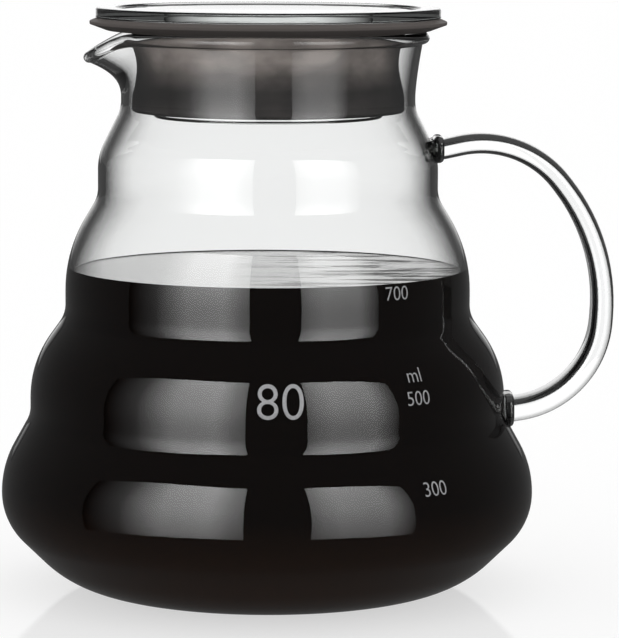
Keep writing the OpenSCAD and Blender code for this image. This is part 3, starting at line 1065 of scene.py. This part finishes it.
class BuildStudio(ServerStep, bpy.types.Operator):
    """Set the floor, the backdrop, the light panels, the world and the camera"""

    bl_idname = "server.build_studio"
    bl_label = "Studio"

    # Side of the floor, its gap to the foot, and how white and how glossy it looks
    floor_side, floor_gap, floor_white, floor_gloss = 8, 0.05 * MM, 0.7, 0.14
    # Number of flat strips in a curved panel
    strips = 24
    # Distance from the server's axis, foot and top of the near panels and of the backdrop
    near, far = (0.75, -0.2, 0.66), (5.7, -0.1, 2.4)

    def panel(self, name, turns, place, level, span, across, up, drop=0.0, seen_through=False):
        """A curved panel round the server, between two azimuths off the camera's.

        Its light fades across a span of X and from its foot up. Its top may drop towards the side
        that stands farther off the camera. Only reflections show it, or the view through glass too.
        """
        nothing_selected()
        first, last = turns
        radius, low, high = place
        line = drawn(name, [Vector((radius, low)), Vector((radius, high))])
        line.data.transform(Matrix.Rotation(math.radians(first - 90), 4, "Z"))
        panel = turned(line, self.strips, math.radians(last - first))
        reach = max(abs(first), abs(last))
        for corner in panel.data.vertices:
            off = abs(math.degrees(math.atan2(corner.co.x, -corner.co.y))) / reach
            if corner.co.z > low:
                corner.co.z -= drop * off**3
        s = Shader(name + "_light")
        sideways, upwards = s.ramp(s.along("X", *span), *across), s.ramp(s.along("Z", low, high), *up)
        strength = s.product(s.product(sideways, level), upwards)
        worn(panel, s.finish(s.add("Emission", Strength=strength).outputs[0]))
        for ray in ("camera", "diffuse", "shadow"):
            setattr(panel, "visible_" + ray, False)
        if not seen_through:
            panel.visible_transmission = False
            panel.light_linking.receiver_collection = bpy.data.collections[UNLIT]

    def floor(self, tint):
        """A pale glossy floor that keeps the server's shadow and a faint mirror of it."""
        nothing_selected()
        bpy.ops.mesh.primitive_plane_add(size=self.floor_side, location=(0, 0, -self.floor_gap))
        floor = settled("studio_floor")
        s = Shader("studio_floor")
        path = s.add("LightPath").outputs
        plain = s.math("LESS_THAN", path["Glossy Depth"], 0.5)
        straight = s.product(path["Is Transmission Ray"], plain)
        seen = s.math("MAXIMUM", path["Is Camera Ray"], straight)
        white = s.add("Emission", Strength=s.product(seen, self.floor_white))
        matt = s.join("AddShader", s.add("BsdfDiffuse", Color=(*tint, 1)).outputs[0], white.outputs[0])
        shine = s.add("BsdfGlossy", Roughness=0.05).outputs[0]
        worn(floor, s.finish(s.join("MixShader", self.floor_gloss, matt, shine)))
        floor.visible_glossy = False
        unlit_by_panels(floor)

    def world(self, daylight, gloom):
        """White to the eye and through glass, soft on surfaces and dim in mirrored light."""
        s = Shader("studio", "World")
        bpy.context.scene.world = s.owner
        soft, dim, white = (
            s.add("Background", Color=(1, 1, 1, 1), Strength=strength).outputs[0]
            for strength in (daylight, gloom, 1.0)
        )
        path = s.add("LightPath").outputs
        mirrored = s.math("GREATER_THAN", path["Glossy Depth"], 0.5)
        straight = s.math("SUBTRACT", path["Is Transmission Ray"], mirrored, use_clamp=True)
        clear = s.math("MAXIMUM", path["Is Camera Ray"], straight)
        s.finish(s.join("MixShader", clear, s.join("MixShader", mirrored, soft, dim), white))

    def camera(self, studio):
        """The photograph's viewpoint."""
        nothing_selected()
        place = Vector((0, -studio.distance, studio.camera_height))
        look = Vector((studio.aim_x, 0, studio.aim_z)) - place
        bpy.ops.object.camera_add(location=place)
        camera = bpy.context.object
        turn = look.to_track_quat("-Z", "Y").to_matrix().to_4x4()
        spin = Matrix.Rotation(studio.roll, 4, "Z")
        camera.matrix_world = Matrix.Translation(place) @ turn @ spin
        camera.data.lens = studio.lens
        camera.data.sensor_width = 36
        bpy.context.scene.camera = camera

    def execute(self, context):
        kit = self.settings
        studio = kit.studio
        self.floor(kit.finish.ground)
        self.world(studio.daylight, studio.gloom)
        self.panel(
            "left_panel", (-82, -10), self.near, studio.panel,
            span=(-0.743, -0.13),
            across=((0.0, 0.0), (0.12, 0.12), (0.36, 0.85), (0.72, 1.0), (0.88, 0.6), (1.0, 0.4)),
            up=((0.0, 0.35), (0.25, 0.6), (0.5, 0.85), (0.9, 1.0)),
            drop=0.26,
        )
        self.panel(
            "right_panel", (18, 63), self.near, studio.panel,
            span=(0.23, 0.67),
            across=((0.0, 0.4), (0.12, 0.62), (0.35, 0.85), (0.8, 0.75), (1.0, 0.1)),
            up=((0.0, 0.3), (0.25, 0.5), (0.5, 0.75), (0.9, 0.95)),
            drop=0.2,
        )
        self.panel(
            "backdrop", (156, 204), self.far, studio.backdrop,
            span=(-2.32, 2.32),
            across=((0.0, 0.0), (0.3, 1.0), (0.7, 1.0), (1.0, 0.0)),
            up=((0.0, 1.0), (0.7, 1.0), (1.0, 0.2)),
            seen_through=True,
        )
        self.camera(studio)
        bpy.context.scene.view_settings.view_transform = "Standard"
        return {"FINISHED"}


class SERVER_PT_panel(bpy.types.Panel):
    """Lists the steps that build the coffee server"""

    bl_label = "Glass Coffee Server"
    bl_space_type = "VIEW_3D"
    bl_region_type = "UI"
    bl_category = "Server"

    def draw(self, context):
        for step in STEPS:
            self.layout.operator(step.bl_idname)
        for name in GROUPS:
            box = self.layout.box()
            group = getattr(context.scene.server, name)
            for key in GROUPS[name].__annotations__:
                box.prop(group, key)


STEPS = (BuildStudio, MakeGlass, MakeHandle, MakeDisc, MakeCollar, PourCoffee, PrintScale)
CLASSES = (*GROUPS.values(), ServerSettings, *STEPS, SERVER_PT_panel)


def register():
    """Makes the settings, the operators and the panel known."""
    for cls in CLASSES:
        bpy.utils.register_class(cls)
    bpy.types.Scene.server = bpy.props.PointerProperty(type=ServerSettings)


def unregister():
    """Takes them away again."""
    del bpy.types.Scene.server
    for cls in reversed(CLASSES):
        bpy.utils.unregister_class(cls)


def main():
    """Builds the server."""
    register()
    for step in STEPS:
        group, name = step.bl_idname.split(".")
        getattr(getattr(bpy.ops, group), name)()


if __name__ == "__main__":
    main()
